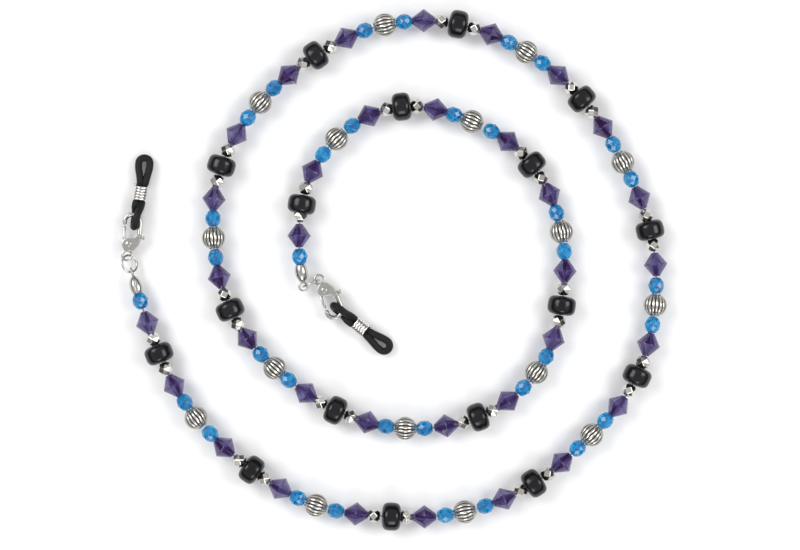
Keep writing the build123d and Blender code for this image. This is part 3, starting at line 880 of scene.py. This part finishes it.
def makeRubber(end, spec, clasp):
    # a closed loop of round rubber: around the hook, squeezed side by side in the coil, then the temple loop
    shape = rubberShape
    drop = -shape["neckDrop"]
    local = seat(place(clasp, shape["onHook"]), spec["rubber"])
    temple = seat(place(local, (shape["templeAt"], 0, drop)), spec["temple"], shape["templeFall"])
    # the upper strand leaves the hook towards the side that lies over, the lower one towards the other
    over = spec["over"]
    bight = arcCorners((shape["foldAt"], 0), shape["wrap"], 270, 90, 4)
    around = [(x, over * shape["foldLean"] * z, z) for x, z in bight]
    above = [(x, over * y, z) for x, y, z in shape["pastHook"]]
    below = [(x, -y, z if z == drop else -z * shape["lowerShare"]) for x, y, z in reversed(above)]
    half = shape["templeHalf"]
    far = [(x, over * y, 0.0) for x, y in arcCorners((shape["templeFar"] - half, 0), half, 90, -90, 4)]
    side = [(x, over * y, 0.0) for x, y in shape["templeSide"]]
    otherSide = [(x, -y, z) for x, y, z in reversed(side)]
    controls = np.concatenate([place(local, around), place(local, above), place(temple, side),
                               place(temple, far), place(temple, otherSide), place(local, below)])
    path = splineLine(controls, closed=True, resolution=12)
    # inside the coil the radius is squeezed, with a smooth step 3 t^2 - 2 t^3 at both of its ends
    reach = (path - place(local, (0, 0, drop))) @ local[1][0] / mm
    inCoil = (np.clip((reach - shape["coilStart"] + 0.5) / shape["squeezeOver"], 0, 1)
              * np.clip((shape["coilEnd"] + 0.5 - reach) / shape["squeezeOver"], 0, 1))
    inCoil = inCoil * inCoil * (3 - 2 * inCoil)
    radius = (shape["radius"] - (shape["radius"] - shape["squeezed"]) * inCoil) * mm
    # the path runs on over its own start, so that the sections are carried across, and the extra rings go
    grid = tubeGrid(np.concatenate([path, path[:2]]), np.concatenate([radius, radius[:2]]), count=20)
    makePiece(f"{end}_rubber", [closedGrid(grid[:-2])], f"{end}_rubber_loop", [f"{end}_rubber_loop"],
              "black_rubber")
    return local


def makeCoil(end, local):
    # a helix of round wire about the squeezed neck
    shape = coilShape
    turn = np.linspace(0, 2 * math.pi * shape["turns"], int(shape["turns"] * 40))
    path = np.stack([shape["start"] + shape["pitch"] * turn / (2 * math.pi), shape["radius"] * np.cos(turn),
                     shape["radius"] * np.sin(turn) - rubberShape["neckDrop"]], -1)
    grid = tubeGrid(place(local, path), shape["wire"] * mm, count=12)
    makePiece(f"{end}_coil", [cappedGrid(grid)], f"{end}_grip_coil", [f"{end}_grip_coil"], "coil_silver")


claspShape = {
    "eyeRadius": 1.235,
    "eyeWire": 0.31,
    "clawWide": (0.70, 0.14),
    "clawDeep": (0.98, 0.30),
    "clawRounded": 0.05,
    "clawPower": 0.85,
    "claw": [(1.7, -0.9), (2.6, -1.7), (3.8, -2.3), (5.2, -2.55), (7.4, -2.5), (9.487, -2.4), (10.6, -1.287),
             (10.6, 0.496), (9.546, 1.55), (8.5, 1.58), (7.75, 1.5)],
    "cheek": [(1.235, -0.75), (2.3, -1.9), (4.0, -2.75), (5.6, -3.0), (5.75, -2.3), (4.7, -1.4), (4.4, 0.9),
              (3.4, 1.75), (2.1, 1.45), (1.235, 0.75)],
    "cheekMiddle": (3.1, -0.4),
    "block": [(0.95, -0.55), (1.5, -1.2), (2.0, -1.6), (2.0, 1.35), (1.5, 1.1), (0.95, 0.55)],
    "blockMiddle": (1.6, -0.1),
    "slotHalf": 0.65,
    "cheekHalf": 1.1,
    "rivet": (3.0, -0.1),
    "voxel": 0.07,
    "smoothing": 2,
}


def plate(outline, middle, low, high, power=0.35, rows=14):
    # a plate with rounded edges: the outline shrinks by cos^p while the height goes as sin^p
    outline = splineLine([(x, y, 0) for x, y in outline], closed=True, resolution=8)[:, :2]
    angle = np.linspace(-math.pi / 2, math.pi / 2, rows)[1:-1]
    share = np.abs(np.cos(angle)) ** power
    height = np.sign(np.sin(angle)) * np.abs(np.sin(angle)) ** power
    middle = np.array(middle)
    flat = middle + (outline[None] - middle) * share[:, None, None]
    tall = (low + high) / 2 + (high - low) / 2 * height
    return np.concatenate([flat, np.broadcast_to(tall[:, None, None], (*flat.shape[:2], 1))], -1)


def castSkin(piece, shape):
    # joins overlapping shells into one cast skin
    skin = piece.modifiers.new("skin", "REMESH")
    skin.mode = "VOXEL"
    skin.voxel_size = shape["voxel"] * mm
    skin.use_smooth_shade = True
    soft = piece.modifiers.new("soft", "SMOOTH")
    soft.factor = 0.5
    soft.iterations = shape["smoothing"]


def makeClasp(end, local):
    # a wire eye, a block behind it, two cheeks with a slot between, and a claw that narrows to its tip
    shape = claspShape
    turn = np.linspace(0, 2 * math.pi, 48, endpoint=False)
    eye = np.stack([shape["eyeRadius"] * np.cos(turn), shape["eyeRadius"] * np.sin(turn), np.zeros(48)], -1)
    shells = [closedGrid(ringTube(eye, shape["eyeWire"], 12, local))]
    claw = splineLine([(x, y, 0) for x, y in shape["claw"]], resolution=14)
    steps = np.linspace(0, 1, len(claw))
    ending = roundedEnds(claw, 1.0, shape["clawRounded"])
    wide, deep = (start - less * steps for start, less in (shape["clawWide"], shape["clawDeep"]))
    section = tubeGrid(place(local, claw), wide * ending * mm, deep * ending * mm, 20, shape["clawPower"])
    shells.append(cappedGrid(section))
    slot, cheek = shape["slotHalf"], shape["cheekHalf"]
    for low, high in ((slot, cheek), (-cheek, -slot)):
        shells.append(cappedGrid(place(local, plate(shape["cheek"], shape["cheekMiddle"], low, high))))
    shells.append(cappedGrid(place(local, plate(shape["block"], shape["blockMiddle"], -cheek, cheek))))
    body = makePiece(f"{end}_claspBody", shells, f"{end}_clasp", [f"{end}_clasp_body"], "fitting_silver")
    castSkin(body, shape)


leverShape = {
    "arm": [(3.0, -0.1, 0.2), (3.5, 0.65, 0.2), (4.2, 1.25, 0.2), (5.0, 1.40, 0.08), (6.0, 1.42, 0.0),
            (7.5, 1.47, 0.0)],
    "armWide": 0.36,
    "armDeepGain": 0.14,
    "armRounded": 0.08,
    "tail": [(3.0, -0.1, 0.2), (3.7, -1.2, 0.2), (4.3, -2.3, 0.2), (4.75, -3.4, 0.1)],
    "tailWide": 0.33,
    "tailDeep": 0.36,
    "power": 0.7,
    "tab": (4.9, -3.75),
    "tabTurn": 28,
    "tabHalf": (0.625, 0.325),
    "tabThick": 0.7,
    "tabPower": 0.5,
    "hub": 0.927,
    "hubLow": -0.16,
    "hubHigh": 0.59,
    "hubPower": 0.25,
    "voxel": 0.06,
    "smoothing": 2,
}


def makeLever(end, local):
    # a hub on the rivet, a gate arm that deepens by its gain, and a tail that ends in a thumb tab
    shape = leverShape
    arm = splineLine(shape["arm"], resolution=12)
    steps = np.linspace(0, 1, len(arm))
    ending = roundedEnds(arm, 1.0, shape["armRounded"])
    armDeep = (shape["armWide"] + shape["armDeepGain"] * np.clip(steps * 2 - 0.6, 0, 1)) * ending
    armGrid = tubeGrid(place(local, arm), shape["armWide"] * ending * mm, armDeep * mm, 16, shape["power"])
    tail = splineLine(shape["tail"], resolution=12)
    tailGrid = tubeGrid(place(local, tail), shape["tailWide"] * mm, shape["tailDeep"] * mm, 16,
                        shape["power"])
    turn = math.radians(shape["tabTurn"])
    corner = np.array([(-1, -1), (1, -1), (1, 1), (-1, 1)]) * shape["tabHalf"]
    corner = corner @ np.array([[math.cos(turn), math.sin(turn)], [-math.sin(turn), math.cos(turn)]])
    thick = shape["tabThick"]
    tab = plate(corner + shape["tab"], shape["tab"], -thick, thick, shape["tabPower"])
    rivet = claspShape["rivet"]
    hubTurn = np.radians(np.arange(0, 360, 30))
    outline = rivet + shape["hub"] * np.stack([np.cos(hubTurn), np.sin(hubTurn)], -1)
    hub = plate(outline, rivet, shape["hubLow"], shape["hubHigh"], shape["hubPower"])
    shells = [cappedGrid(grid) for grid in (armGrid, tailGrid, place(local, tab), place(local, hub))]
    lever = makePiece(f"{end}_lever", shells, f"{end}_clasp_lever", [f"{end}_clasp_lever"], "fitting_silver")
    castSkin(lever, shape)


rivetShape = {"head": 0.75, "headAt": 1.1, "dome": 0.2, "pin": 0.45, "pinEnd": 1.09}


def makeRivet(end, local):
    # a pin with a low domed head on each cheek: head radius * cos and dome height * sin
    shape = rivetShape
    angle = np.linspace(0, math.pi / 2, 8)[:-1]
    domeRadius = shape["head"] * np.cos(angle)
    domeHeight = shape["headAt"] + shape["dome"] * np.sin(angle)
    heights = np.concatenate([-domeHeight[::-1], [-shape["pinEnd"], shape["pinEnd"]], domeHeight])
    radii = np.concatenate([domeRadius[::-1], [shape["pin"], shape["pin"]], domeRadius])
    turn = np.linspace(0, 2 * math.pi, 28, endpoint=False)
    rivet = claspShape["rivet"]
    grid = np.stack([rivet[0] + radii[:, None] * np.cos(turn), rivet[1] + radii[:, None] * np.sin(turn),
                     np.broadcast_to(heights[:, None], (len(heights), 28))], -1)
    makePiece(f"{end}_rivet", [cappedGrid(place(local, grid))], f"{end}_clasp", [f"{end}_clasp_rivet"],
              "fitting_silver")


for end, spec in ends.items():
    makeTip(end, spec)
    makeRing(end, spec)
    clasp = seat(jointPlaces[f"{end}_clasp_swing"], spec["clasp"], 0.0, spec["flipped"])
    makeClasp(end, clasp)
    makeLever(end, clasp)
    makeRivet(end, clasp)
    rubber = makeRubber(end, spec, clasp)
    makeCoil(end, rubber)
    # the crimp and the spring keep their CAD shapes and only get a material
    for node, slotName in (("crimp_bead", "fitting_silver"), ("clasp_spring", "spring_steel")):
        kept = frame["nodes"][f"{end}_{node}"]
        for holder in kept.material_slots:
            holder.material = finishes[slotName]
    print(end, "fittings made")


def makeFloor():
    half = studio["floorSize"] / 2
    mesh = bpy.data.meshes.new("floor")
    corners = [(-half, -half, 0), (half, -half, 0), (half, half, 0), (-half, half, 0)]
    mesh.from_pydata(corners, [], [(0, 1, 2, 3)])
    mesh.materials.append(paleFloor())
    floor = bpy.data.objects.new("floor", mesh)
    bpy.context.scene.collection.objects.link(floor)


makeFloor()
print("done")
